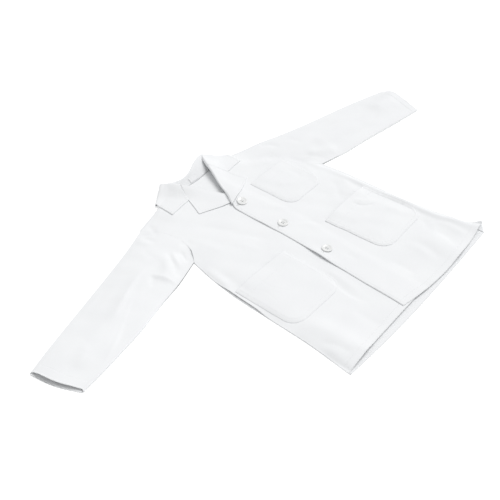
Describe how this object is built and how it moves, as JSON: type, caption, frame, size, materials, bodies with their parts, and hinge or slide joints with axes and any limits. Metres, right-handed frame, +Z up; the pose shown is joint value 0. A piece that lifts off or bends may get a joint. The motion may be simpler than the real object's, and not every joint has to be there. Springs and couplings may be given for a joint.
{
  "type": "child's doctor coat, laid flat",
  "caption": "Child's white doctor coat laid on its back: lapel collar, long sleeves spread, buttoned front with patch pockets on chest and hips.",
  "frame": {"origin": "on the surface that the coat lies on, under the back, below the middle button", "axes": "+X towards the wearer's left, along the spread sleeves; +Y from hem to neck; +Z up from the surface"},
  "size_m": [1.0317, 0.5461, 0.0251],
  "materials": {
    "coat_cloth": "matt white poly-cotton twill",
    "label_tape": "smooth woven tape, blank",
    "button_plastic": "white polyester, soft gloss"
  },
  "bodies": {
    "root": {"back": "coat_cloth", "front_right": "coat_cloth", "front_left": "coat_cloth", "sleeve_right": "coat_cloth", "sleeve_left": "coat_cloth", "lapel_right": "coat_cloth", "lapel_left": "coat_cloth", "collar": "coat_cloth", "neck_label": "label_tape", "pocket_chest": "coat_cloth", "pocket_lower_left": "coat_cloth", "pocket_lower_right": "coat_cloth", "button_1": "button_plastic", "button_2": "button_plastic", "button_3": "button_plastic"}
  },
  "joints": []
}
